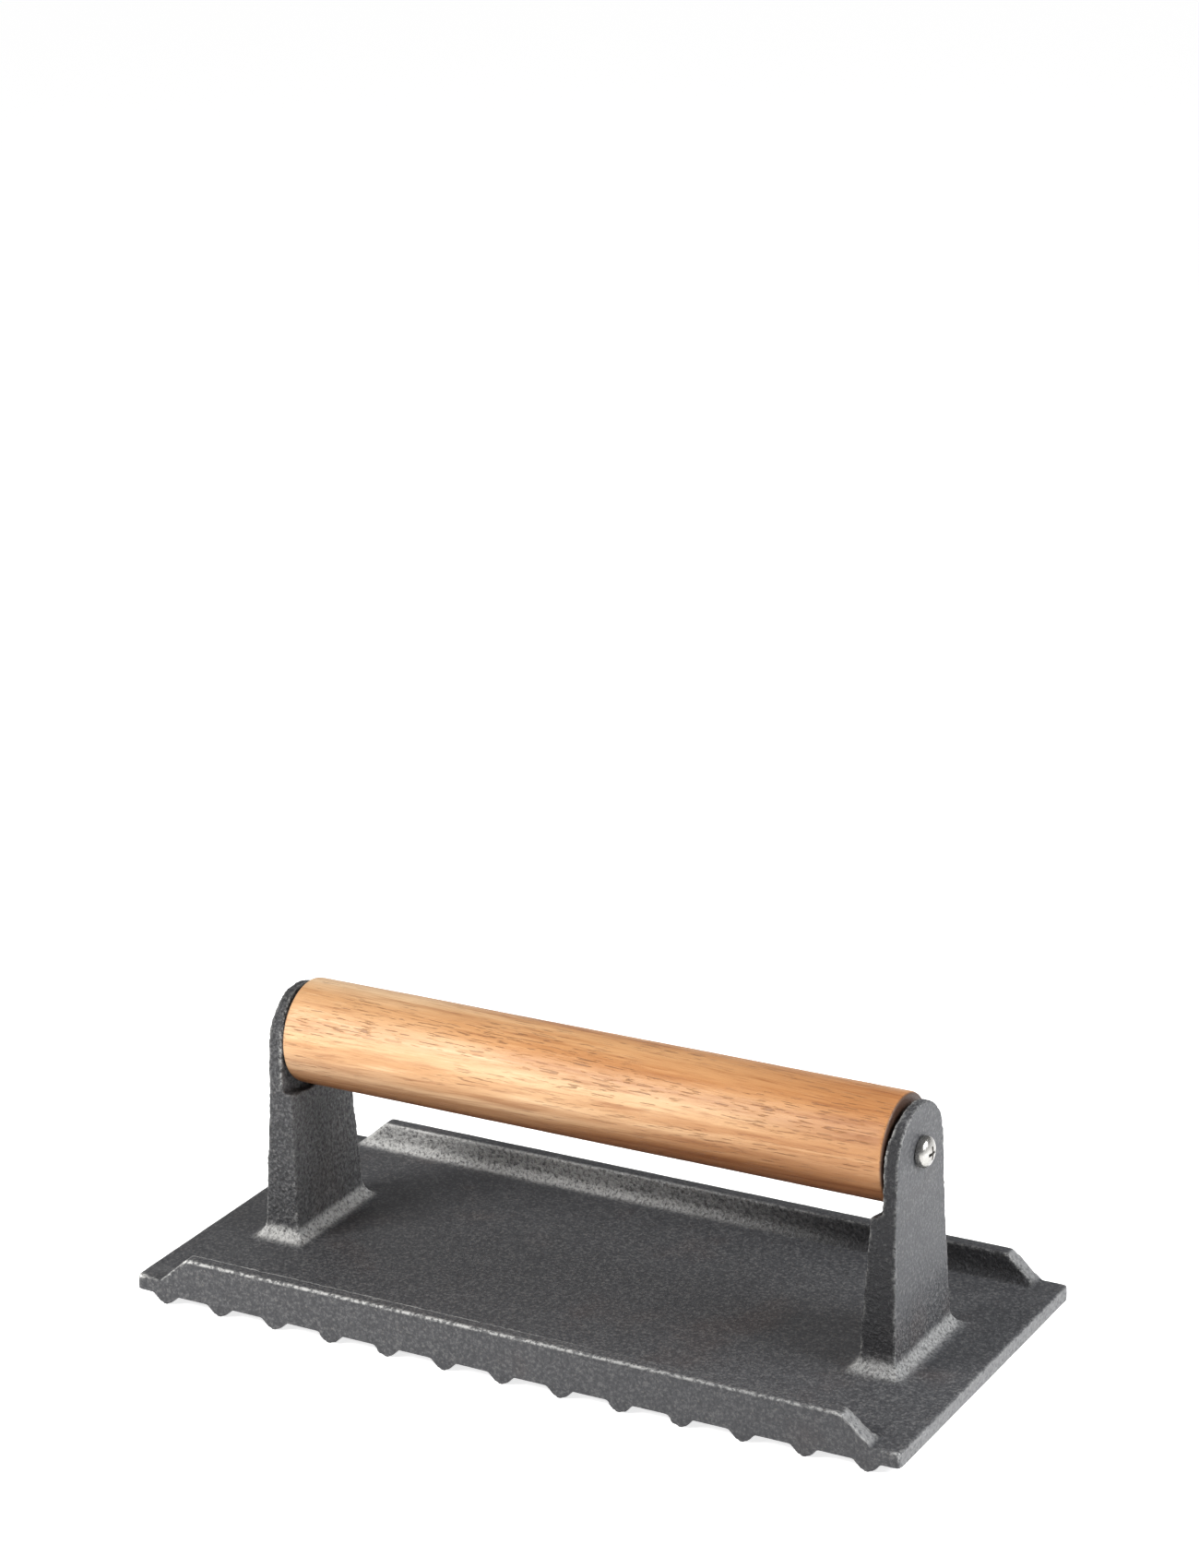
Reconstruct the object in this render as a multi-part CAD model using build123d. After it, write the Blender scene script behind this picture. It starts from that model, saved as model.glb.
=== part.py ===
from build123d import *
from math import radians, tan
import os

# Bacon press: a ribbed cast-iron plate with two lips and two posts, and a wooden grip that turns on a
# steel rod between the posts.
# Frame: X along the grip, Y across the plate, +Z up. The origin is the centre of the footprint, on the
# crowns of the ribs that the press stands on. Millimetres.

# Plate
PLATE_LENGTH = 210.0
PLATE_WIDTH = 100.0
PLATE_THICKNESS = 4.1
PLATE_CORNER_RADIUS = 1.2
PLATE_EDGE_ROUND = 0.4

# Pressing ribs under the plate, running across it
RIB_COUNT = 13
RIB_PITCH = 16.1
RIB_HEIGHT = 2.3
RIB_RADIUS = 3.1
RIB_CROWN_FLAT = 1.5
RIB_FOOT_FILLET = 1.4

# Lips along the two long edges of the plate
LIP_HEIGHT = 6.9
LIP_TOP_THICKNESS = 4.2
LIP_DRAFT = 0.5
LIP_FOOT_LENGTH = 195.6
LIP_TOP_LENGTH = 180.0
LIP_FOOT_FILLET = 2.8
LIP_END_ROUND = 2.0
LIP_TOP_ROUND = 0.5

# Posts at the two ends, measured from the centre plane of the press
POST_OUTER_FOOT_X = 88.3
POST_INNER_FOOT_X = 78.2
POST_INNER_SHELF_X = 80.2
EAR_OUTER_X = 87.0
EAR_INNER_X = 83.1
EAR_TOP_INNER_X = 84.4
POST_FOOT_HALF_WIDTH = 16.4
POST_FOOT_FILLET = 4.6
EAR_RADIUS = 13.3
EAR_CENTRE_Z = 57.2

# Shelf at the foot of each ear: dished across, so that the grip above it turns clear
SHELF_MIDDLE_Z = 44.4
SHELF_DISH_RADIUS = 70.0
SHELF_CORNER_FILLET = 1.4

# Grip, rod and screws share one axis along X
GRIP_AXIS_Z = 58.4
GRIP_DIAMETER = 27.1
GRIP_END_FLOAT = 0.3
GRIP_END_ROUND = 0.6
ROD_DIAMETER = 8.0
ROD_RUNNING_CLEARANCE = 0.08
ROD_END_CHAMFER = 0.5
ROD_TAPPED_DEPTH = 18.0
DRILL_POINT_ANGLE = 118.0

# M4 pan-head screws with a Phillips recess
SCREW_DIAMETER = 4.0
SCREW_LENGTH = 16.0
SCREW_POINT_CHAMFER = 0.6
SCREW_CLEARANCE_HOLE = 4.5
SCREW_HEAD_DIAMETER = 7.8
SCREW_HEAD_HEIGHT = 3.1
SCREW_HEAD_RIM = 1.3
SCREW_HEAD_ROUND = 0.4
RECESS_WIDTH = 4.2
RECESS_DEPTH = 2.0
RECESS_WING = 0.9
RECESS_TAPER = 0.35

PLATE_TOP_Z = RIB_HEIGHT + PLATE_THICKNESS
LIP_TOP_Z = PLATE_TOP_Z + LIP_HEIGHT
EAR_TOP_Z = EAR_CENTRE_Z + EAR_RADIUS
GRIP_LENGTH = 2 * (EAR_INNER_X - GRIP_END_FLOAT)
ROD_LENGTH = 2 * EAR_INNER_X
ROD_BORE_DIAMETER = ROD_DIAMETER + 2 * ROD_RUNNING_CLEARANCE
# How far a cut or a joined solid runs past the face that it has to pass
OVERRUN = 5.0
# When picking edges: how near counts as touching, and how far round a feature to look
TOUCHING = 0.01
LOOK_ROUND = 1.0


def along_x(sketch, length, start_x):
    """Extrude a sketch that is drawn with Y to the right and Z up, from start_x towards +X."""
    return extrude(Plane(origin=(start_x, 0, 0), x_dir=(0, 1, 0), z_dir=(1, 0, 0)) * sketch, length)


def across_y(sketch, width):
    """Extrude a sketch that is drawn with X to the right and Z up, by half the width to each side."""
    return extrude(Plane.XZ * sketch, width / 2, both=True)


def polygon(*points):
    return make_face(Polyline(*points, close=True))


def footprint():
    """The plate's outline with rounded corners, as a block taller than the casting."""
    outline = RectangleRounded(PLATE_LENGTH, PLATE_WIDTH, PLATE_CORNER_RADIUS)
    return extrude(Pos(0, 0, -OVERRUN) * outline, EAR_TOP_Z + 2 * OVERRUN)


def rib_section():
    """One rib: a half-round bar whose crown is ground to a narrow flat at z = 0."""
    crown_drop = RIB_RADIUS - (RIB_RADIUS**2 - (RIB_CROWN_FLAT / 2) ** 2) ** 0.5
    bar = Pos(0, RIB_RADIUS - crown_drop) * Circle(RIB_RADIUS)
    kept = Pos(0, PLATE_TOP_Z / 2) * Rectangle(PLATE_LENGTH, PLATE_TOP_Z)
    return bar & kept


def ribbed_plate():
    """The plate with its ribs and their foot fillets, extruded in one go across the press."""
    section = Pos(0, RIB_HEIGHT + PLATE_THICKNESS / 2) * Rectangle(PLATE_LENGTH, PLATE_THICKNESS)
    for index in range(RIB_COUNT):
        section += Pos((index - (RIB_COUNT - 1) / 2) * RIB_PITCH, 0) * rib_section()
    rib_feet = [
        vertex
        for vertex in section.vertices()
        if abs(vertex.Y - RIB_HEIGHT) < TOUCHING and abs(vertex.X) < PLATE_LENGTH / 2 - LOOK_ROUND
    ]
    section = fillet(rib_feet, RIB_FOOT_FILLET)
    plate = across_y(section, PLATE_WIDTH) & footprint()
    return fillet(plate.faces().sort_by(Axis.Z)[-1].edges(), PLATE_EDGE_ROUND)


def lip():
    """The lip on the +Y edge: drafted inner face, softened top and sloping ends."""
    outer = PLATE_WIDTH / 2
    top_inner = outer - LIP_TOP_THICKNESS
    foot_inner = top_inner - LIP_DRAFT
    sunk = PLATE_TOP_Z - PLATE_THICKNESS / 2
    section = polygon(
        (outer, sunk),
        (outer, LIP_TOP_Z),
        (top_inner, LIP_TOP_Z),
        (foot_inner, PLATE_TOP_Z),
        (foot_inner, sunk),
    )
    top_edges = section.vertices().group_by(Axis.Y)[-1]
    section = fillet(top_edges, LIP_TOP_ROUND)
    bar = along_x(section, LIP_FOOT_LENGTH, -LIP_FOOT_LENGTH / 2)
    half_foot = LIP_FOOT_LENGTH / 2
    half_top = LIP_TOP_LENGTH / 2
    side_view = polygon(
        (-half_foot, PLATE_TOP_Z - PLATE_THICKNESS),
        (half_foot, PLATE_TOP_Z - PLATE_THICKNESS),
        (half_foot, PLATE_TOP_Z),
        (half_top, LIP_TOP_Z),
        (-half_top, LIP_TOP_Z),
        (-half_foot, PLATE_TOP_Z),
    )
    ends = [v for v in side_view.vertices() if abs(v.Y - LIP_TOP_Z) < TOUCHING]
    side_view = fillet(ends, LIP_END_ROUND)
    return bar & across_y(side_view, PLATE_WIDTH)


def post_front_view():
    """The post seen along X: straight tapering sides that run into the round top of the ear."""
    sides = polygon(
        (-POST_FOOT_HALF_WIDTH, PLATE_TOP_Z - PLATE_THICKNESS / 2),
        (POST_FOOT_HALF_WIDTH, PLATE_TOP_Z - PLATE_THICKNESS / 2),
        (EAR_RADIUS, EAR_CENTRE_Z),
        (-EAR_RADIUS, EAR_CENTRE_Z),
    )
    return sides + Pos(0, EAR_CENTRE_Z) * Circle(EAR_RADIUS)


def post():
    """The +X post: a tapering stem, the dished shelf, and the ear above it, thinner towards its top."""
    sunk = PLATE_TOP_Z - PLATE_THICKNESS / 2
    shelf_block_z = SHELF_MIDDLE_Z + OVERRUN
    rod_seat_z = GRIP_AXIS_Z + ROD_DIAMETER / 2
    stem = across_y(
        polygon(
            (POST_INNER_FOOT_X, sunk),
            (POST_OUTER_FOOT_X, sunk),
            (POST_OUTER_FOOT_X, PLATE_TOP_Z),
            (EAR_OUTER_X, SHELF_MIDDLE_Z),
            (EAR_OUTER_X, EAR_TOP_Z),
            (EAR_TOP_INNER_X, EAR_TOP_Z),
            (EAR_INNER_X, rod_seat_z),
            (EAR_INNER_X, shelf_block_z),
            (POST_INNER_SHELF_X, shelf_block_z),
            (POST_INNER_SHELF_X, SHELF_MIDDLE_Z),
        ),
        PLATE_WIDTH,
    )
    seat = Pos(0, SHELF_MIDDLE_Z + SHELF_DISH_RADIUS) * Circle(SHELF_DISH_RADIUS)
    stem -= along_x(seat, EAR_INNER_X, 0)
    shelf_corner = stem.edges().filter_by(GeomType.CIRCLE).sort_by(Axis.X)[-1]
    stem = fillet(shelf_corner, SHELF_CORNER_FILLET)
    outline = along_x(post_front_view(), PLATE_LENGTH, 0)
    return stem & outline


def screw_axis(radius, length, start_x):
    """A cylinder on the grip's axis, from start_x towards +X."""
    return along_x(Pos(0, GRIP_AXIS_Z) * Circle(radius), length, start_x)


def is_post_foot(edge):
    """Whether an edge is where a post meets the top of the plate."""
    box = edge.bounding_box()
    on_plate = box.size.Z < TOUCHING and abs(box.max.Z - PLATE_TOP_Z) < TOUCHING
    reach_x = max(abs(box.min.X), abs(box.max.X))
    reach_y = max(abs(box.min.Y), abs(box.max.Y))
    near_x = reach_x < POST_OUTER_FOOT_X + LOOK_ROUND
    near_y = reach_y < POST_FOOT_HALF_WIDTH + LOOK_ROUND
    return on_plate and near_x and near_y


def is_lip_foot(edge):
    """Whether an edge is where the inner face of a lip meets the top of the plate."""
    box = edge.bounding_box()
    on_plate = box.size.Z < TOUCHING and abs(box.max.Z - PLATE_TOP_Z) < TOUCHING
    inside = abs(edge.center().Y) < PLATE_WIDTH / 2 - LIP_TOP_THICKNESS
    return on_plate and inside and box.size.X > LIP_TOP_LENGTH and box.size.Y < TOUCHING


def pressing_plate():
    """The whole casting. The ear holes let the screws through to the rod."""
    casting = ribbed_plate()
    casting += [lip(), mirror(lip(), Plane.XZ)]
    casting += [post(), mirror(post(), Plane.YZ)]
    casting = fillet(casting.edges().filter_by(is_lip_foot), LIP_FOOT_FILLET)
    casting = fillet(casting.edges().filter_by(is_post_foot), POST_FOOT_FILLET)
    for side in (-1, 1):
        start = side * (EAR_INNER_X + EAR_OUTER_X) / 2 - OVERRUN
        casting -= screw_axis(SCREW_CLEARANCE_HOLE / 2, 2 * OVERRUN, start)
    return casting


def wooden_grip():
    """Turned hardwood cylinder with rounded ends, bored right through for the rod."""
    body = screw_axis(GRIP_DIAMETER / 2, GRIP_LENGTH, -GRIP_LENGTH / 2)
    body = fillet(body.edges().filter_by(GeomType.CIRCLE), GRIP_END_ROUND)
    return body - screw_axis(ROD_BORE_DIAMETER / 2, GRIP_LENGTH + 2 * OVERRUN, -GRIP_LENGTH / 2 - OVERRUN)


def tapped_hole():
    """The tapped hole in the +X end of the rod, with its drill point."""
    radius = SCREW_DIAMETER / 2
    point = radius / tan(radians(DRILL_POINT_ANGLE / 2))
    bottom = ROD_LENGTH / 2 - ROD_TAPPED_DEPTH
    mouth = ROD_LENGTH / 2 + OVERRUN
    profile = polygon(
        (bottom - point, GRIP_AXIS_Z),
        (bottom, GRIP_AXIS_Z + radius),
        (mouth, GRIP_AXIS_Z + radius),
        (mouth, GRIP_AXIS_Z),
    )
    return revolve(Plane.XZ * profile, Axis((0, 0, GRIP_AXIS_Z), (1, 0, 0)))


def handle_rod():
    """Steel rod as long as the gap between the ears, tapped at both ends."""
    rod = screw_axis(ROD_DIAMETER / 2, ROD_LENGTH, -ROD_LENGTH / 2)
    rod = chamfer(rod.edges().filter_by(GeomType.CIRCLE), ROD_END_CHAMFER)
    rod -= tapped_hole()
    return rod - mirror(tapped_hole(), Plane.YZ)


def phillips_recess():
    """The cross recess, tapering towards the screw's point; the screw's axis is X, the face is at x = 0."""
    cross = Rectangle(RECESS_WIDTH, RECESS_WING) + Rectangle(RECESS_WING, RECESS_WIDTH)
    floor = scale(cross, by=RECESS_TAPER)
    mouth = Plane(origin=(0, 0, 0), x_dir=(0, 1, 0), z_dir=(1, 0, 0))
    return loft([mouth.offset(-RECESS_DEPTH) * floor, mouth * cross])


def pan_head_screw():
    """The right-hand screw, its head bearing on the outer face of the ear."""
    rim = SCREW_HEAD_DIAMETER / 2
    dome_height = SCREW_HEAD_HEIGHT - SCREW_HEAD_RIM
    dome = EllipticalCenterArc((0, SCREW_HEAD_RIM), rim, dome_height, arc_size=90)
    edge = Polyline(dome @ 1, (0, 0), (rim - SCREW_HEAD_ROUND, 0), (rim, SCREW_HEAD_ROUND), dome @ 0)
    head = revolve(Plane.XZ * make_face([dome, edge]), Axis.Z)
    head = Rot(0, 90, 0) * head
    shank = Rot(0, -90, 0) * extrude(Circle(SCREW_DIAMETER / 2), SCREW_LENGTH)
    tip = shank.edges().sort_by(Axis.X)[0]
    screw = head + chamfer(tip, SCREW_POINT_CHAMFER)
    screw -= Pos(SCREW_HEAD_HEIGHT, 0, 0) * phillips_recess()
    return Pos(EAR_OUTER_X, 0, GRIP_AXIS_Z) * screw


os.makedirs("parts", exist_ok=True)
pieces = {
    "pressing_plate": pressing_plate(),
    "wooden_grip": wooden_grip(),
    "handle_rod": handle_rod(),
    "right_screw": pan_head_screw(),
    "left_screw": mirror(pan_head_screw(), Plane.YZ),
}
for name, piece in pieces.items():
    export_step(piece, f"parts/{name}.step")
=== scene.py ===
import math

import bmesh
import bpy
import numpy as np
from mathutils import Matrix, Vector, noise


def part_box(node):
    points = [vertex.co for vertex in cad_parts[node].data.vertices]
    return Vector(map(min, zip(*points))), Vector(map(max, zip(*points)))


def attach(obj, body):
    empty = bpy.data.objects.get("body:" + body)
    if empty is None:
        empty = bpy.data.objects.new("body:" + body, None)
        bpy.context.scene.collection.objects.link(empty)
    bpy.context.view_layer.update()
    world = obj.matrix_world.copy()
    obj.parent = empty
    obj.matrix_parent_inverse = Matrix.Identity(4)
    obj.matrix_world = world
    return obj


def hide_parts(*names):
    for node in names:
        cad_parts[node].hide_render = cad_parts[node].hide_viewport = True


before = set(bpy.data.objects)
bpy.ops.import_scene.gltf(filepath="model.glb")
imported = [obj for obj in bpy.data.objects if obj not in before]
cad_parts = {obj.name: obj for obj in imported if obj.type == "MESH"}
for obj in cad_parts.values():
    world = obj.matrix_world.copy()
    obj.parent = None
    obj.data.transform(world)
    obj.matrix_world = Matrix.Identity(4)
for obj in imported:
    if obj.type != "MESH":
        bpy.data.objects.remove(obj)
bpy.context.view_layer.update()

# Looks of the bacon press: a sand-cast iron plate with posts, a turned acacia grip and stainless screws.
# Everything is in metres, in the frame's own axes: X along the grip, Y across the plate, Z up, and the ribs
# rest on z = 0.

PLATE_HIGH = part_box("pressing_plate")[1]
GRIP_LOW, GRIP_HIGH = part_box("wooden_grip")
ROD_LOW, ROD_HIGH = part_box("handle_rod")
SCREW_LOW, SCREW_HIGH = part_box("right_screw")
MM = 0.001
TINY = 0.001 * MM

# Stage
FLOOR_HALF_SIZE = 6.0
FLOOR_GAP = 0.02 * MM

# Places on the casting
PLATE_TOP = 6.4 * MM
PLATE_UNDERSIDE = 2.3 * MM
LIP_TOP = 13.3 * MM
LIP_THICKNESS = 4.2 * MM
LIP_FOOT_FILLET = 2.8 * MM
POST_INNER = 73.6 * MM
POST_OUTER = 91.5 * MM
POST_REACH = 22.0 * MM
POST_FOOT_TOP = 8.5 * MM
EAR_START = 45.0 * MM
HALF_LENGTH = PLATE_HIGH.x
HALF_WIDTH = PLATE_HIGH.y

# Meshing of the casting
VOXEL = 0.5 * MM
SOFTENING_PASSES = 2
FACE_LIMIT = 190000

# Skin of the casting, in mm: how far its lumps and waves stand out, and how far all of it is drawn in, so
# that it stays inside the CAD box. The scales are lumps and waves to the metre.
LUMP_SCALE = 750
LUMP_FINE = 0.015
LUMP_COARSE = 0.17
WAVE_SCALE = 120
WAVE_HEIGHT = 0.05
HIGHEST_LIFT = 0.05
DRAWN_IN = 0.06

# Worn edges with a painted glint: how far a vertex stands proud of its neighbours where wear and glint
# start and are full, in voxels
EDGE_SMOOTHING = 2
EDGE_LOW = 0.055
EDGE_HIGH = 0.115

# Grip
GRIP_AXIS = Vector(((GRIP_LOW.x + GRIP_HIGH.x) / 2, 0, (GRIP_LOW.z + GRIP_HIGH.z) / 2))
GRIP_RADIUS = (GRIP_HIGH.z - GRIP_LOW.z) / 2
GRIP_HALF = (GRIP_HIGH.x - GRIP_LOW.x) / 2
GRIP_END_ROUND = 0.9 * MM
GRIP_END_INSET = 0.02 * MM
GRIP_WAVE = 0.05 * MM
GRIP_RIPPLE = 0.02 * MM
GRIP_SEGMENTS = 128
GRIP_RINGS = 180
BORE_CLEARANCE = 0.08 * MM
BORE_RADIUS = (ROD_HIGH.z - ROD_LOW.z) / 2 + BORE_CLEARANCE
BORE_RINGS = 12
PITH = (0, -21 * MM, 16 * MM)

# Screws
HEAD_RADIUS = (SCREW_HIGH.z - SCREW_LOW.z) / 2
HEAD_HEIGHT = 3.1 * MM
HEAD_RIM = 1.25 * MM
HEAD_EDGE_ROUND = 0.3 * MM
HEAD_FACE = SCREW_HIGH.x - HEAD_HEIGHT
THREAD_RADIUS = 2.0 * MM
THREAD_PITCH = 0.7 * MM
THREAD_DEPTH = 0.38 * MM
THREAD_RUN_OUT = 1.0 * MM
POINT_LENGTH = 0.7 * MM
POINT_DEPTH = 0.6 * MM
SCREW_LENGTH = (SCREW_HIGH.x - SCREW_LOW.x) - HEAD_HEIGHT
SCREW_SEGMENTS = 72
RINGS_PER_TURN = 8
DOME_RINGS = 18
RECESS_WING = 2.1 * MM
RECESS_HALF_WIDTH = 0.45 * MM
RECESS_DEPTH = 2.0 * MM


# ---------------------------------------------------------------- camera, floor and light

def make_camera():
    """The camera looks down at the press from its front right."""
    azimuth, elevation, roll = math.radians(28.80), math.radians(18.79), math.radians(-0.83)
    target = Vector((2.0, 0.0, 136.9)) * MM
    distance = 995.3 * MM
    back = Vector((
        math.sin(azimuth) * math.cos(elevation),
        -math.cos(azimuth) * math.cos(elevation),
        math.sin(elevation),
    ))
    right = Vector((math.cos(azimuth), math.sin(azimuth), 0))
    up = back.cross(right)
    turned_right = right * math.cos(roll) + up * math.sin(roll)
    turned_up = back.cross(turned_right)
    data = bpy.data.cameras.new("camera")
    data.lens = 95.75
    data.sensor_width = 36.0
    data.clip_start = 0.01
    camera = bpy.data.objects.new("camera", data)
    camera.matrix_world = Matrix((
        (turned_right.x, turned_up.x, back.x, 0),
        (turned_right.y, turned_up.y, back.y, 0),
        (turned_right.z, turned_up.z, back.z, 0),
        (0, 0, 0, 1),
    ))
    camera.location = target + back * distance
    bpy.context.scene.collection.objects.link(camera)
    bpy.context.scene.camera = camera


def make_floor():
    """A white table just under the part, lit a little from within so that shadows stay faint."""
    mesh = bpy.data.meshes.new("floor")
    build = bmesh.new()
    bmesh.ops.create_grid(build, x_segments=1, y_segments=1, size=FLOOR_HALF_SIZE)
    build.to_mesh(mesh)
    build.free()
    floor = bpy.data.objects.new("floor", mesh)
    floor.location.z = -FLOOR_GAP
    bpy.context.scene.collection.objects.link(floor)
    material = bpy.data.materials.new("pale_floor")
    material.use_nodes = True
    shader = material.node_tree.nodes["Principled BSDF"]
    shader.inputs["Base Color"].default_value = (0.93, 0.93, 0.93, 1)
    shader.inputs["Roughness"].default_value = 0.9
    shader.inputs["Specular IOR Level"].default_value = 0.1
    shader.inputs["Emission Color"].default_value = (1, 1, 1, 1)
    shader.inputs["Emission Strength"].default_value = 0.72
    mesh.materials.append(material)


def area_light(name, place, target, width, height, power, colour):
    """A rectangular lamp at place, facing target, with its power in watts."""
    data = bpy.data.lights.new(name, "AREA")
    data.shape = "RECTANGLE"
    data.size, data.size_y = width, height
    data.energy = power
    data.color = colour
    light = bpy.data.objects.new(name, data)
    light.location = place
    light.rotation_mode = "QUATERNION"
    light.rotation_quaternion = (Vector(target) - Vector(place)).to_track_quat("-Z", "Y")
    bpy.context.scene.collection.objects.link(light)


def make_light():
    """A warm key light at the front left, a cooler panel at the right, and a room white at the horizon."""
    middle = (0, 0, 0.04)
    right_post = (0.09, 0, 0.04)
    warm = (1.0, 0.985, 0.96)
    cool = (0.97, 0.985, 1.0)
    front_left = (-0.42, -0.52, 0.50)
    far_right = (0.40, 0.02, 0.27)
    area_light("key_left", front_left, middle, width=0.34, height=0.30, power=6.5, colour=warm)
    area_light("panel_right", far_right, right_post, width=0.26, height=0.20, power=2.0, colour=cool)
    world = bpy.data.worlds.new("studio")
    world.use_nodes = True
    background = world.node_tree.nodes["Background"]
    # White at the horizon, so that the floor has no edge, and dim overhead, by the sine of the elevation
    nodes, links = world.node_tree.nodes, world.node_tree.links
    height = nodes.new("ShaderNodeSeparateXYZ")
    links.new(nodes.new("ShaderNodeTexCoord").outputs["Generated"], height.inputs[0])
    fall = nodes.new("ShaderNodeMapRange")
    links.new(height.outputs["Z"], fall.inputs["Value"])
    fall.inputs["From Min"].default_value = 0.09
    fall.inputs["From Max"].default_value = 0.22
    fall.inputs["To Min"].default_value = 1.0
    fall.inputs["To Max"].default_value = 0.26
    links.new(fall.outputs[0], background.inputs["Strength"])
    background.inputs["Color"].default_value = (1.0, 1.0, 1.0, 1)
    scene = bpy.context.scene
    scene.world = world
    scene.view_settings.view_transform = "Standard"
    scene.view_settings.look = "None"


# ---------------------------------------------------------------- node helpers

class Shader:
    """A material under construction: short calls that add nodes and join them."""

    def __init__(self, name):
        self.material = bpy.data.materials.new(name)
        self.material.use_nodes = True
        self.tree = self.material.node_tree
        self.bsdf = self.tree.nodes["Principled BSDF"]
        self.place = self.add("ShaderNodeTexCoord").outputs["Object"]

    def add(self, kind, **settings):
        node = self.tree.nodes.new(kind)
        for key, value in settings.items():
            setattr(node, key, value)
        return node

    def join(self, value, socket):
        """Set a socket from another node's output, or from a plain number or colour."""
        if isinstance(value, bpy.types.NodeSocket):
            self.tree.links.new(value, socket)
        elif socket.type == "RGBA" and len(value) == 3:
            socket.default_value = (*value, 1)
        else:
            socket.default_value = value

    def math(self, operation, *values, clamp=False):
        """Work out a sum, product or other operation on the values."""
        node = self.add("ShaderNodeMath", operation=operation, use_clamp=clamp)
        for value, socket in zip(values, node.inputs):
            self.join(value, socket)
        return node.outputs[0]

    def stretch(self, scale, shift=(0, 0, 0), turn=(0, 0, 0), source=None):
        """Scale, shift and turn the object's coordinates, or those of source."""
        node = self.add("ShaderNodeMapping")
        self.join(source or self.place, node.inputs["Vector"])
        node.inputs["Scale"].default_value = scale
        node.inputs["Location"].default_value = shift
        node.inputs["Rotation"].default_value = turn
        return node.outputs[0]

    def noise(self, scale, detail=3.0, rough=0.5, vector=None):
        node = self.add("ShaderNodeTexNoise")
        self.join(vector or self.place, node.inputs["Vector"])
        node.inputs["Scale"].default_value = scale
        node.inputs["Detail"].default_value = detail
        node.inputs["Roughness"].default_value = rough
        return node.outputs["Fac"]

    def cells(self, scale):
        """Distance to the nearest of many scattered points."""
        node = self.add("ShaderNodeTexVoronoi")
        self.join(self.place, node.inputs["Vector"])
        node.inputs["Scale"].default_value = scale
        return node.outputs["Distance"]

    def step(self, value, low, high, to_low=0.0, to_high=1.0):
        """Map a value smoothly from low..high to to_low..to_high."""
        node = self.add("ShaderNodeMapRange", interpolation_type="SMOOTHSTEP")
        for number, socket in zip((value, low, high, to_low, to_high), node.inputs[:5]):
            self.join(number, socket)
        return node.outputs[0]

    def mix(self, share, first, second, blend="MIX"):
        """Blend from the first colour to the second by share."""
        node = self.add("ShaderNodeMix", data_type="RGBA", blend_type=blend)
        self.join(share, node.inputs["Factor"])
        self.join(first, node.inputs[6])
        self.join(second, node.inputs[7])
        return node.outputs[2]

    def bump(self, height, distance, strength, below=None):
        """A normal bent by height, laid over the normal below."""
        node = self.add("ShaderNodeBump")
        self.join(height, node.inputs["Height"])
        node.inputs["Distance"].default_value = distance
        node.inputs["Strength"].default_value = strength
        if below:
            self.join(below, node.inputs["Normal"])
        return node.outputs[0]

    def attribute(self, name):
        """A number stored on the mesh's vertices."""
        return self.add("ShaderNodeAttribute", attribute_name=name).outputs["Fac"]

    def split(self, vector):
        node = self.add("ShaderNodeSeparateXYZ")
        self.join(vector, node.inputs[0])
        return node.outputs

    def finish(self, **inputs):
        """Join the inputs to the shader and return the material."""
        for name, value in inputs.items():
            self.join(value, self.bsdf.inputs[name.replace("_", " ")])
        return self.material


# ---------------------------------------------------------------- materials

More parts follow.
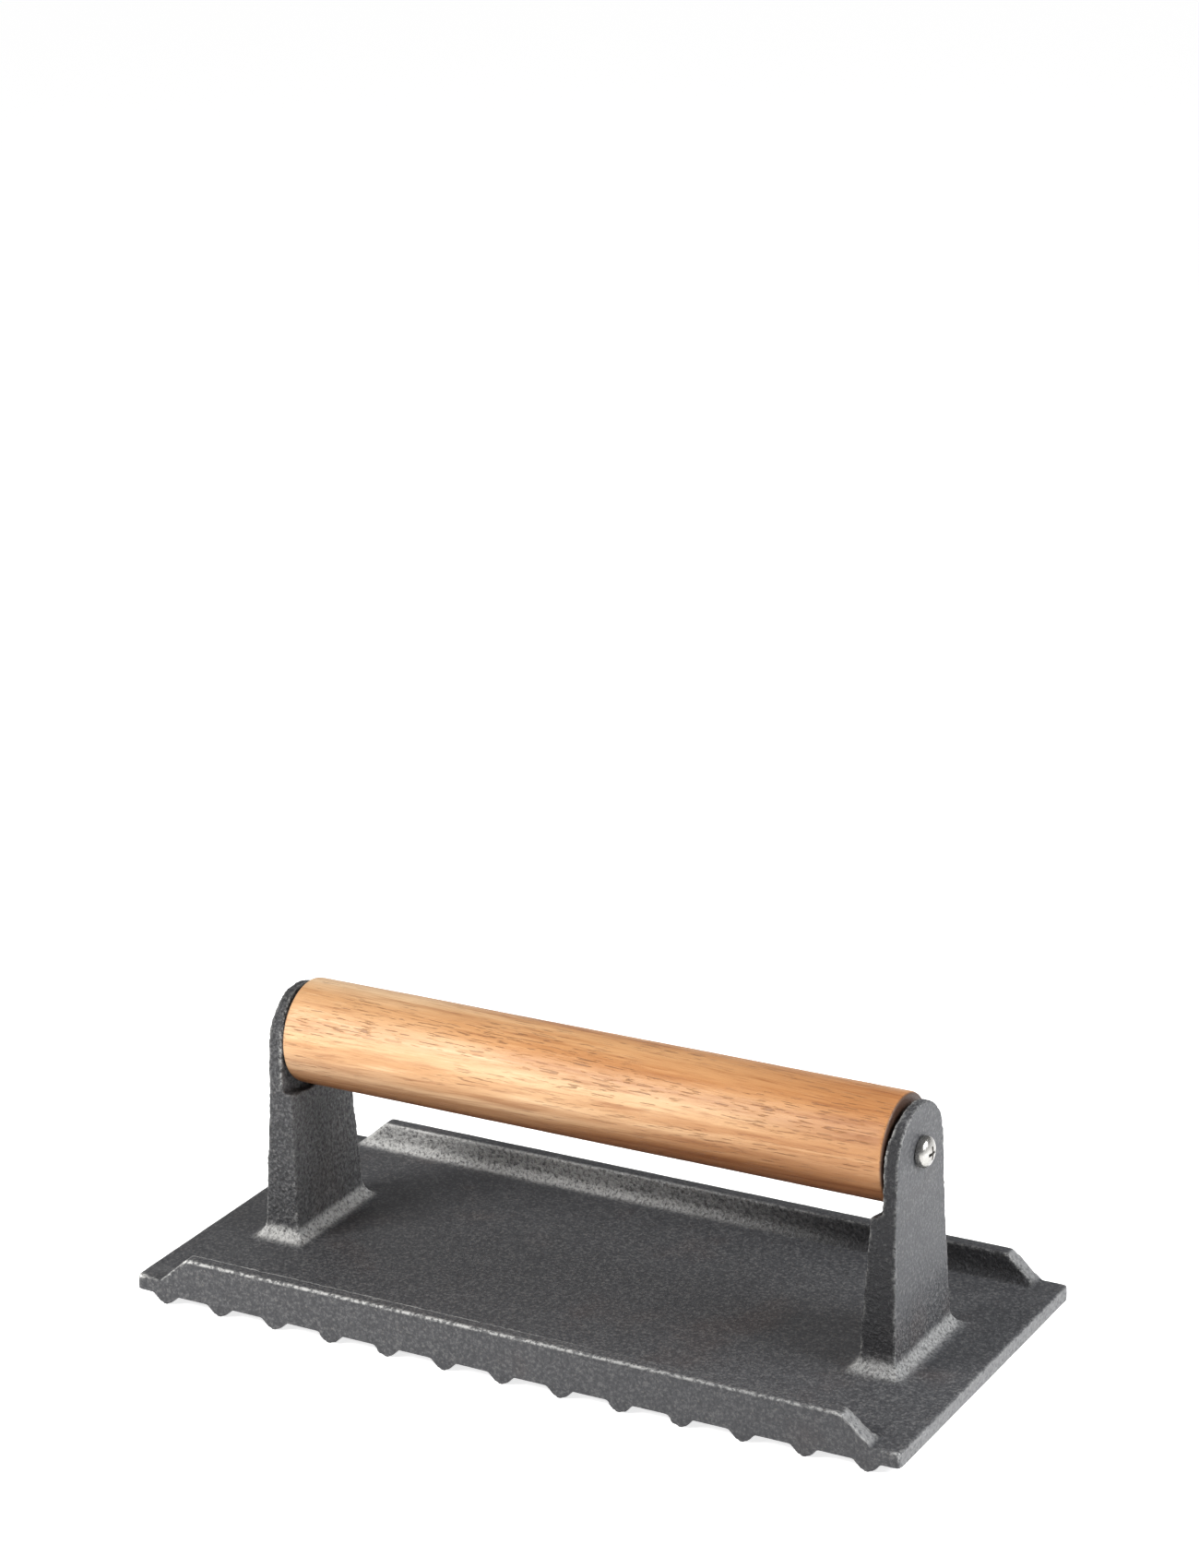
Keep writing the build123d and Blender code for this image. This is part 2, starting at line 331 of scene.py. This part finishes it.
def cast_iron():
    """Seasoned sand-cast iron: grainy grey-black skin, coarse on posts and lips, with painted shade and
    painted highlights, and worn proud edges with a painted glint.
    """
    s = Shader("cast_iron")
    coarse, painted_highlight, edge = s.attribute("coarse"), s.attribute("painted_highlight"), s.attribute("edge")
    painted_shade = s.attribute("painted_shade")
    grain = s.noise(1350, 3.0, 0.7)
    lump = s.noise(1150, 3.0, 0.65)
    cloud = s.noise(22, 4.0, 0.6)
    # Skin: fine grain all over, a reddish-brown bloom in places, and small light flecks
    base = s.mix(cloud, (0.053, 0.054, 0.058), (0.070, 0.071, 0.076))
    bloom = s.step(s.noise(35, 3.0, 0.55), 0.56, 0.74, 0.0, 0.30)
    base = s.mix(bloom, base, (0.088, 0.062, 0.055))
    base = s.mix(s.step(grain, 0.52, 0.38, 0.0, 0.62), base, (0.026, 0.026, 0.029))
    base = s.mix(s.step(grain, 0.52, 0.64, 0.0, 0.55), base, (0.165, 0.163, 0.162))
    fleck = s.step(s.cells(520), 0.20, 0.08, 0.0, 0.45)
    base = s.mix(fleck, base, (0.17, 0.16, 0.15))
    # Painted shade on the right post's front, the lips' right half and the front face, stronger to the
    # right
    base = s.mix(s.math("MULTIPLY", painted_shade, 0.80), base, (0.014, 0.014, 0.016))
    # Coarse skin: painted shade in the pits, painted highlights on the grains, and a painted highlight
    # lightest in the fillets
    painted_pit_shade = s.math("MULTIPLY", s.step(lump, 0.52, 0.38), coarse)
    base = s.mix(s.math("MULTIPLY", painted_pit_shade, 0.55), base, (0.024, 0.024, 0.026))
    painted_grain_light = s.math("MULTIPLY", s.step(lump, 0.53, 0.66), coarse)
    painted_grain_light = s.math("MULTIPLY", painted_grain_light, s.step(painted_shade, 0.0, 1.0, 1.0, 0.35))
    base = s.mix(s.math("MULTIPLY", painted_grain_light, 0.32), base, (0.26, 0.26, 0.26))
    painted_frost = s.math("MULTIPLY", s.step(lump, 0.20, 0.62), painted_highlight)
    base = s.mix(s.math("MULTIPLY", painted_frost, 0.90), base, (0.60, 0.60, 0.59))
    # Bare metal on the proud edges, partly a painted glint
    broken = s.step(s.noise(900, 3.0, 0.7), 0.42, 0.58, 0.10, 1.0)
    worn_and_glinting = s.math("MULTIPLY", edge, broken)
    base = s.mix(worn_and_glinting, base, (0.80, 0.80, 0.78))
    # Surface
    roughness = s.step(grain, 0.3, 0.7, 0.44, 0.60)
    roughness = s.math("SUBTRACT", roughness, s.math("MULTIPLY", worn_and_glinting, 0.12), clamp=True)
    fine = s.bump(grain, 0.05 * MM, 0.8)
    height = s.math("MULTIPLY", lump, s.step(coarse, 0.0, 1.0, 0.10, 1.0))
    normal = s.bump(height, 0.90 * MM, 1.0, below=fine)
    s.bsdf.inputs["Specular IOR Level"].default_value = 0.28
    return s.finish(Base_Color=base, Roughness=roughness, Normal=normal)


def acacia():
    """Oiled acacia, grain along the grip, short dark pores, painted shade underneath and towards the right
    end, and darker end grain deepened by painted shade.
    """
    s = Shader("acacia")
    lean = s.stretch((1, 1, 1), turn=(0, math.radians(1.6), math.radians(2.4)))
    # Growth rings round a pith that lies outside the grip
    wander = s.noise(9, 3.0, 0.5, vector=s.stretch((0.35, 1, 1)))
    _, y, z = s.split(s.stretch((1, 1, 1), shift=PITH))
    far = s.math("SQRT", s.math("ADD", s.math("MULTIPLY", y, y), s.math("MULTIPLY", z, z)))
    far = s.math("ADD", far, s.math("MULTIPLY", wander, 12 * MM))
    rings = s.step(s.math("SINE", s.math("MULTIPLY", far, 1500.0)), -1.0, 1.0)
    broad = s.noise(1, 3.0, 0.55, vector=s.stretch((8, 95, 95), source=lean))
    streak = s.noise(1, 4.0, 0.65, vector=s.stretch((17, 620, 620), source=lean))
    fibre = s.noise(1, 4.0, 0.7, vector=s.stretch((60, 2300, 2300), source=lean))
    base = s.mix(s.step(broad, 0.34, 0.66), (0.80, 0.555, 0.33), (0.61, 0.345, 0.165))
    base = s.mix(s.math("MULTIPLY", rings, 0.30), base, (0.46, 0.21, 0.075))
    base = s.mix(s.step(streak, 0.50, 0.70, 0.0, 0.60), base, (0.34, 0.14, 0.05))
    base = s.mix(s.step(streak, 0.46, 0.30, 0.0, 0.45), base, (0.90, 0.64, 0.39))
    base = s.mix(s.step(fibre, 0.50, 0.70, 0.0, 0.42), base, (0.36, 0.16, 0.06))
    # Painted shade underneath and towards the right end, and on the top of the right half
    along, _, height = s.split(s.place)
    under_start = GRIP_AXIS.z + 0.15 * GRIP_RADIUS
    under_full = GRIP_AXIS.z - 0.80 * GRIP_RADIUS
    underside_painted_shade = s.step(height, under_start, under_full, 0.0, 0.95)
    base = s.mix(underside_painted_shade, base, s.mix(1.0, base, (0.26, 0.145, 0.078), blend="MULTIPLY"))
    right_end_painted_shade = s.step(s.math("ADD", along, s.math("MULTIPLY", broad, 80 * MM)), 0.0, 110 * MM)
    base = s.mix(right_end_painted_shade, base, s.mix(1.0, base, (0.73, 0.62, 0.52), blend="MULTIPLY"))
    crown_painted_shade = s.step(height, GRIP_AXIS.z + 0.40 * GRIP_RADIUS, GRIP_AXIS.z + 0.80 * GRIP_RADIUS)
    right_half = s.step(s.math("ADD", along, s.math("MULTIPLY", broad, 60 * MM)), -30 * MM, 30 * MM)
    crown_painted_shade = s.math("MULTIPLY", crown_painted_shade, right_half)
    base = s.mix(crown_painted_shade, base, s.mix(1.0, base, (0.90, 0.76, 0.61), blend="MULTIPLY"))
    # Pores: short dark strokes, gathered in patches
    pores = s.noise(1, 1.5, 0.5, vector=s.stretch((150, 2700, 2700), source=lean))
    zone = s.step(s.noise(1, 2.0, 0.5, vector=s.stretch((22, 150, 150), source=lean)), 0.38, 0.58)
    pore = s.math("MULTIPLY", s.step(pores, 0.59, 0.68), zone)
    base = s.mix(s.math("MULTIPLY", pore, 0.68), base, (0.20, 0.085, 0.032))
    # Dark end faces: end grain, deepened by painted shade
    base = s.mix(s.attribute("end_grain_and_shade"), base, (0.050, 0.024, 0.014))
    roughness = s.step(fibre, 0.3, 0.7, 0.38, 0.54)
    dents = s.math("SUBTRACT", fibre, s.math("MULTIPLY", pore, 1.5))
    normal = s.bump(dents, 0.09 * MM, 0.8)
    s.bsdf.inputs["Specular IOR Level"].default_value = 0.40
    return s.finish(Base_Color=base, Roughness=roughness, Normal=normal)


def stainless():
    """Polished stainless steel with faint turning marks."""
    s = Shader("stainless")
    marks = s.noise(1, 2.0, vector=s.stretch((9000, 900, 900)))
    smudge = s.noise(700, 3.0)
    base = s.mix(smudge, (0.34, 0.33, 0.31), (0.50, 0.49, 0.47))
    # Painted shade in the cross recess
    base = s.mix(s.attribute("recess"), base, (0.045, 0.042, 0.040))
    roughness = s.step(marks, 0.3, 0.7, 0.20, 0.32)
    normal = s.bump(marks, 0.01 * MM, 0.3)
    s.bsdf.inputs["Metallic"].default_value = 1.0
    return s.finish(Base_Color=base, Roughness=roughness, Normal=normal)


def drawn_steel():
    """Bright drawn steel rod, scored lightly along its length."""
    s = Shader("drawn_steel")
    scores = s.noise(1, 3.0, 0.6, vector=s.stretch((40, 4000, 4000)))
    base = s.mix(scores, (0.36, 0.36, 0.37), (0.56, 0.56, 0.57))
    roughness = s.step(scores, 0.3, 0.7, 0.28, 0.42)
    normal = s.bump(scores, 0.01 * MM, 0.5)
    s.bsdf.inputs["Metallic"].default_value = 1.0
    return s.finish(Base_Color=base, Roughness=roughness, Normal=normal)


# ---------------------------------------------------------------- meshes

def new_object(name, mesh, material):
    piece = bpy.data.objects.new(name, mesh)
    bpy.context.scene.collection.objects.link(piece)
    mesh.materials.clear()
    mesh.materials.append(material)
    mesh.shade_smooth()
    return piece


def evaluated(piece):
    """A new mesh with the piece's modifiers worked in."""
    graph = bpy.context.evaluated_depsgraph_get()
    graph.update()
    return bpy.data.meshes.new_from_object(piece.evaluated_get(graph))


def smoothstep(value, low, high):
    """0 up to low, 1 from high, and smooth between."""
    share = min(1.0, max(0.0, (value - low) / (high - low)))
    return share * share * (3 - 2 * share)


def within(value, limit, fade):
    """1 up to limit, falling smoothly to 0 over the width fade."""
    return smoothstep(-value, -limit - fade, -limit)


def on_lips(place):
    """The lips lie beyond the posts' reach to the front and back."""
    return abs(place.y) > POST_REACH + 2 * MM


def coarseness(place, normal):
    """How coarse the casting's skin is: 1 on the posts and inside the lips, 0 on the plate."""
    on_post = smoothstep(abs(place.x), POST_INNER - 2 * MM, POST_INNER + 1 * MM)
    on_post *= within(abs(place.x), POST_OUTER, 2.5 * MM)
    on_post *= within(abs(place.y), POST_REACH, 2 * MM)
    on_post *= smoothstep(place.z, PLATE_TOP - 0.1 * MM, PLATE_TOP + 0.8 * MM)
    # The outer faces are smoother, except low down
    outward = smoothstep(normal.x * math.copysign(1, place.x), 0.90, 0.99)
    on_post *= 1 - 0.9 * outward * smoothstep(place.z, 12 * MM, 30 * MM)
    lip_face = HALF_WIDTH - LIP_THICKNESS
    lip_foot = lip_face - LIP_FOOT_FILLET
    in_lip = smoothstep(abs(place.y), lip_foot - 1.5 * MM, lip_foot + 0.5 * MM)
    in_lip *= within(abs(place.y), lip_face + 0.2 * MM, 0.7 * MM)
    in_lip *= smoothstep(place.z, PLATE_TOP - 0.1 * MM, PLATE_TOP + 0.5 * MM)
    return max(on_post, in_lip)


def painted_highlight_share(place, normal, coarse):
    """Where a painted highlight lightens the skin: fillets at the posts' feet and in the lips, and the
    plate's end faces.
    """
    outward = normal.x * math.copysign(1, place.x)
    if abs(place.x) > HALF_LENGTH - 1 * MM:
        return 0.20 * smoothstep(outward, 0.6, 0.9)
    tilt = smoothstep(normal.z, 0.06, 0.40) * within(normal.z, 0.74, 0.25)
    if on_lips(place):
        # Painted highlight, lightest at the left, and on the slopes that end the lips
        to_left = within(place.x, -45 * MM, 105 * MM)
        slope = smoothstep(outward, 0.30, 0.55) * smoothstep(place.z, PLATE_TOP, PLATE_TOP + 1 * MM)
        return max(coarse * (0.65 + 0.35 * tilt) * to_left, 0.34 * slope)
    at_foot = within(place.z, POST_FOOT_TOP, 5.5 * MM)
    # Less painted highlight on the right post's foot, and a little on the left post's inner face
    if place.x > 0:
        return coarse * tilt * at_foot * 0.56
    return coarse * max(tilt * at_foot, 0.13 * smoothstep(normal.x, 0.6, 0.9))


def painted_shade_share(place, normal, coarse):
    """Where shade is painted onto the skin: the right post's front, the lips' right half, and the front
    face, more to the right.
    """
    if place.y < -HALF_WIDTH + 1.5 * MM:
        return smoothstep(-normal.y, 0.6, 0.9) * (0.18 + 0.27 * smoothstep(place.x, -60 * MM, 80 * MM))
    if on_lips(place):
        return coarse * smoothstep(place.x, -35 * MM, 55 * MM)
    if place.x < 0:
        return 0.0
    return coarse * smoothstep(-normal.y, 0.45, 0.80) * smoothstep(place.z, POST_FOOT_TOP, 14 * MM)


def wear_and_glint_strength(place):
    """Bare metal and a painted glint show most on the outer edges of the front lip and plate, less on the
    other edges.
    """
    at_front = smoothstep(-place.y, HALF_WIDTH - 1.6 * MM, HALF_WIDTH - 0.8 * MM)
    at_front *= smoothstep(place.z, PLATE_UNDERSIDE + 2.5 * MM, PLATE_TOP - 0.8 * MM)
    # To the left the plate's edge beyond the lip is worn and glints too, to the right only the lip's top
    # edge
    to_left = within(place.x, 20 * MM, 40 * MM)
    at_front *= max(to_left, smoothstep(place.z, LIP_TOP - 1.6 * MM, LIP_TOP - 0.8 * MM))
    at_front *= 1 - 0.5 * smoothstep(place.x, -30 * MM, 80 * MM)
    high = smoothstep(place.z, PLATE_TOP - 1.2 * MM, PLATE_TOP - 0.6 * MM)
    on_post = smoothstep(place.z, LIP_TOP, LIP_TOP + 2 * MM)
    on_ear = smoothstep(place.z, EAR_START, EAR_START + 4 * MM)
    return max(at_front, (0.40 - 0.18 * on_post + 0.40 * on_ear) * high)


def edge_wear_and_glint(mesh, places, normals):
    """How far each vertex stands proud of its neighbours, smoothed a little: 0 flat, 1 on a sharp edge."""
    pairs = np.empty(len(mesh.edges) * 2, dtype=np.int32)
    mesh.edges.foreach_get("vertices", pairs)
    first, second = pairs.reshape(-1, 2).T
    count = len(places)
    ways = np.bincount(first, minlength=count) + np.bincount(second, minlength=count)

    def average(values):
        total = np.bincount(first, values[second], count) + np.bincount(second, values[first], count)
        return total / ways

    centre = np.stack([average(places[:, axis]) for axis in range(3)], axis=1)
    proud = ((places - centre) * normals).sum(axis=1) / VOXEL
    for _ in range(EDGE_SMOOTHING):
        proud = average(proud)
    return np.clip((proud - EDGE_LOW) / (EDGE_HIGH - EDGE_LOW), 0, 1)


def skin_lift(place, coarse):
    """How far the rough skin lifts a point, in mm: lumps, higher where it is coarse, and waves."""
    lumps = noise.noise(place * LUMP_SCALE)
    lumps += 0.6 * noise.noise(place * LUMP_SCALE * 2 + Vector((7, 3, 1)))
    waves = noise.noise(place * WAVE_SCALE)
    lift = min(lumps * (LUMP_FINE + LUMP_COARSE * coarse) + waves * WAVE_HEIGHT, HIGHEST_LIFT)
    return lift - DRAWN_IN


def casting(material):
    """The plate, ribs, lips and posts with softened edges and a sand-cast skin in the mesh itself."""
    source = new_object("cast_source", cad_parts["pressing_plate"].data.copy(), material)
    weld = source.modifiers.new("weld", "WELD")
    weld.merge_threshold = TINY
    remesh = source.modifiers.new("remesh", "REMESH")
    remesh.mode = "VOXEL"
    remesh.voxel_size = VOXEL
    soften = source.modifiers.new("soften", "SMOOTH")
    soften.factor = 0.5
    soften.iterations = SOFTENING_PASSES
    mesh = evaluated(source)
    bpy.data.objects.remove(source)
    # All places and normals are read before any vertex moves
    places = np.empty(len(mesh.vertices) * 3)
    normals = np.empty(len(mesh.vertices) * 3)
    mesh.vertices.foreach_get("co", places)
    mesh.vertex_normals.foreach_get("vector", normals)
    places = places.reshape(-1, 3)
    normals = normals.reshape(-1, 3)
    skin = {"coarse": [], "painted_highlight": [], "painted_shade": [], "edge": []}
    moved = []
    for row, up, edge in zip(places, normals, edge_wear_and_glint(mesh, places, normals)):
        place = Vector(row)
        normal = Vector(up)
        coarse = coarseness(place, normal)
        skin["coarse"].append(coarse)
        skin["painted_highlight"].append(painted_highlight_share(place, normal, coarse))
        skin["painted_shade"].append(painted_shade_share(place, normal, coarse))
        skin["edge"].append(edge * wear_and_glint_strength(place))
        moved.extend(place + normal * skin_lift(place, coarse) * MM)
    mesh.vertices.foreach_set("co", moved)
    for name, values in skin.items():
        mesh.attributes.new(name, "FLOAT", "POINT").data.foreach_set("value", values)
    mesh.update()
    heavy = new_object("cast_heavy", mesh, material)
    thin = heavy.modifiers.new("thin", "DECIMATE")
    triangles = 2 * len(mesh.polygons)
    thin.ratio = FACE_LIMIT / triangles
    mesh = evaluated(heavy)
    bpy.data.objects.remove(heavy)
    mesh.name = "cast_plate"
    return new_object("cast_plate", mesh, material)


def join_rings(build, first, second):
    """A band of faces between two rings with as many vertices each."""
    for index in range(len(first)):
        after = (index + 1) % len(first)
        build.faces.new((first[index], first[after], second[after], second[index]))


def lathe(outline, axis_z, segments, jitter=None):
    """Turn an outline of (x, radius) points round a line along X at height axis_z; its ends stay open.

    jitter gives how far a point moves outwards, from its x, its radius and its direction."""
    build = bmesh.new()
    rings = []
    for x, radius in outline:
        ring = []
        for index in range(segments):
            angle = 2 * math.pi * index / segments
            around = Vector((0, math.cos(angle), math.sin(angle)))
            reach = radius + (jitter(x, radius, around) if jitter else 0)
            ring.append(build.verts.new(Vector((x, 0, axis_z)) + around * reach))
        rings.append(ring)
    for first, second in zip(rings, rings[1:]):
        join_rings(build, first, second)
    return build, rings


def arc(centre_x, centre_r, radius, start, end, steps):
    """Outline points on an arc, by angle in degrees from +x towards the outside."""
    for index in range(steps + 1):
        angle = math.radians(start + (end - start) * index / steps)
        yield centre_x + radius * math.cos(angle), centre_r + radius * math.sin(angle)


def grip(material):
    """The turned grip: straight, with softened ends, a hand-finished surface and a bore right through."""
    half = GRIP_HALF
    straight_half = half - GRIP_END_ROUND
    shoulder = GRIP_RADIUS - GRIP_END_ROUND
    end_face = (BORE_RADIUS, BORE_RADIUS + 2 * MM, shoulder - 1.5 * MM)
    step_along = 2 * straight_half / GRIP_RINGS
    step_in_bore = 2 * half / BORE_RINGS
    outline = [(-half, radius) for radius in end_face]
    outline += list(arc(-straight_half, shoulder, GRIP_END_ROUND, 180, 90, 5))
    outline += [(-straight_half + step_along * k, GRIP_RADIUS) for k in range(1, GRIP_RINGS)]
    outline += list(arc(straight_half, shoulder, GRIP_END_ROUND, 90, 0, 5))
    outline += [(half, radius) for radius in reversed(end_face)]
    outline += [(half - step_in_bore * k, BORE_RADIUS) for k in range(1, BORE_RINGS)]

    def hand_finish(x, radius, around):
        """Shallow waves and ripples left by sanding, all inside the CAD's surface; the bore stays true."""
        if radius < GRIP_RADIUS / 2:
            return 0.0
        if abs(x) > half - 0.5 * GRIP_END_ROUND:
            return -GRIP_END_INSET
        waves = noise.noise(Vector((x * 40, around.y * 1.6, around.z * 1.6)))
        ripples = noise.noise(Vector((x * 260, around.y * 9, around.z * 9)))
        return GRIP_WAVE * (waves - 1) + GRIP_RIPPLE * (ripples - 1)

    build, rings = lathe(outline, GRIP_AXIS.z, GRIP_SEGMENTS, hand_finish)
    join_rings(build, rings[-1], rings[0])
    bmesh.ops.recalc_face_normals(build, faces=build.faces)
    mesh = bpy.data.meshes.new("acacia_grip")
    build.to_mesh(mesh)
    build.free()
    piece = new_object("acacia_grip", mesh, material)
    # Dark end faces: end grain, deepened by painted shade
    dark_from = half - 0.7 * GRIP_END_ROUND
    dark_full = half - 0.1 * GRIP_END_ROUND
    shares = [smoothstep(abs(vertex.co.x), dark_from, dark_full) for vertex in mesh.vertices]
    mesh.attributes.new("end_grain_and_shade", "FLOAT", "POINT").data.foreach_set("value", shares)
    return piece


def screw(name, side, material):
    """A pan-head machine screw with a Phillips recess and a cut thread; side is +1 or -1."""
    dome = HEAD_HEIGHT - HEAD_RIM
    edge = HEAD_EDGE_ROUND
    outline = [(HEAD_FACE, THREAD_RADIUS), (HEAD_FACE, HEAD_RADIUS - edge - 0.05 * MM)]
    outline += list(arc(HEAD_FACE + edge, HEAD_RADIUS - edge, edge, 180, 90, 4))
    outline += [(HEAD_FACE + 0.6 * HEAD_RIM, HEAD_RADIUS)]
    for index in range(1, DOME_RINGS + 1):
        angle = math.radians(90 * index / DOME_RINGS)
        reach = HEAD_RADIUS * math.cos(angle) + TINY
        outline.append((HEAD_FACE + HEAD_RIM + dome * math.sin(angle), reach))
    build, rings = lathe(outline, GRIP_AXIS.z, SCREW_SEGMENTS)
    bmesh.ops.contextual_create(build, geom=rings[-1])
    steps = int(SCREW_LENGTH / THREAD_PITCH * RINGS_PER_TURN)
    shank = [rings[0]]
    for step in range(1, steps + 1):
        shank.append(thread_ring(build, SCREW_LENGTH * step / steps))
    for first, second in zip(shank, shank[1:]):
        join_rings(build, first, second)
    bmesh.ops.contextual_create(build, geom=shank[-1])
    bmesh.ops.recalc_face_normals(build, faces=build.faces)
    mesh = bpy.data.meshes.new(name)
    build.to_mesh(mesh)
    build.free()
    blank = new_object(name + "_blank", mesh, material)
    cutter = phillips_cutter(HEAD_FACE + HEAD_HEIGHT)
    cut = blank.modifiers.new("recess", "BOOLEAN")
    cut.operation = "DIFFERENCE"
    cut.solver = "EXACT"
    cut.object = cutter
    finished = evaluated(blank)
    bpy.data.objects.remove(cutter)
    bpy.data.objects.remove(blank)
    if side < 0:
        finished.transform(Matrix.Scale(-1, 4, (1, 0, 0)))
        finished.flip_normals()
    finished.name = name
    shares = [recess_shade(vertex.co) for vertex in finished.vertices]
    finished.attributes.new("recess", "FLOAT", "POINT").data.foreach_set("value", shares)
    piece = new_object(name, finished, material)
    finished.set_sharp_from_angle(angle=math.radians(35))
    return piece


def thread_ring(build, below):
    """One ring of the shank, at a distance below the head: a helical groove and a bevelled point."""
    x = HEAD_FACE - below
    to_point = (x - (HEAD_FACE - SCREW_LENGTH)) / POINT_LENGTH
    ring = []
    for index in range(SCREW_SEGMENTS):
        angle = 2 * math.pi * index / SCREW_SEGMENTS
        turn = ((HEAD_FACE - x) / THREAD_PITCH + index / SCREW_SEGMENTS) % 1.0
        depth = max(THREAD_DEPTH * abs(2 * turn - 1), POINT_DEPTH * (1 - min(1.0, to_point)))
        depth *= smoothstep(HEAD_FACE - x, 0.0, THREAD_RUN_OUT)
        reach = THREAD_RADIUS - depth
        y = math.cos(angle) * reach
        z = GRIP_AXIS.z + math.sin(angle) * reach
        ring.append(build.verts.new((x, y, z)))
    return ring


def recess_shade(place):
    """How deep a point of the head lies below the dome, as a share: 1 in the recess, 0 on the skin."""
    x = abs(place.x)
    radius = math.hypot(place.y, place.z - GRIP_AXIS.z)
    if x < HEAD_FACE + 0.6 * MM or radius > 0.8 * HEAD_RADIUS:
        return 0.0
    rise = math.sqrt(max(0.0, 1 - (radius / HEAD_RADIUS) ** 2))
    skin = HEAD_FACE + HEAD_RIM + (HEAD_HEIGHT - HEAD_RIM) * rise
    return smoothstep(skin - x, 0.12 * MM, 0.4 * MM)


def phillips_cutter(mouth_x):
    """A tapering cross that opens at mouth_x, the crown of the head."""
    build = bmesh.new()
    wing = RECESS_WING
    width = RECESS_HALF_WIDTH
    past_mouth = 0.4 * MM
    corners = []
    for quarter in range(4):
        turn = Matrix.Rotation(math.pi / 2 * quarter, 2)
        corners += [turn @ Vector(corner) for corner in ((wing, -width), (wing, width), (width, width))]
    top = []
    floor = []
    for corner in corners:
        top.append(build.verts.new((mouth_x + past_mouth, corner.x * 1.1, GRIP_AXIS.z + corner.y)))
    for corner in corners:
        # The wings taper more than the middle
        shrink = 0.35 if corner.length > wing * 0.8 else 0.55
        y = corner.x * shrink
        z = GRIP_AXIS.z + corner.y * shrink
        floor.append(build.verts.new((mouth_x - RECESS_DEPTH, y, z)))
    build.faces.new(top)
    build.faces.new(list(reversed(floor)))
    for index in range(len(corners)):
        after = (index + 1) % len(corners)
        build.faces.new((top[index], floor[index], floor[after], top[after]))
    bmesh.ops.recalc_face_normals(build, faces=build.faces)
    mesh = bpy.data.meshes.new("cutter")
    build.to_mesh(mesh)
    build.free()
    cutter = bpy.data.objects.new("cutter", mesh)
    bpy.context.scene.collection.objects.link(cutter)
    return cutter


# ---------------------------------------------------------------- assembly

def hand_over(piece, body, node):
    """Tell the frame which body a piece moves with, and hide the CAD node it stands for."""
    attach(piece, body)
    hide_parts(node)


make_camera()
make_floor()
make_light()

steel = stainless()
hand_over(casting(cast_iron()), "press", "pressing_plate")
hand_over(grip(acacia()), "grip", "wooden_grip")
hand_over(screw("pan_screw_right", 1, steel), "press", "right_screw")
hand_over(screw("pan_screw_left", -1, steel), "press", "left_screw")
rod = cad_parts["handle_rod"]
rod.data.materials.clear()
rod.data.materials.append(drawn_steel())
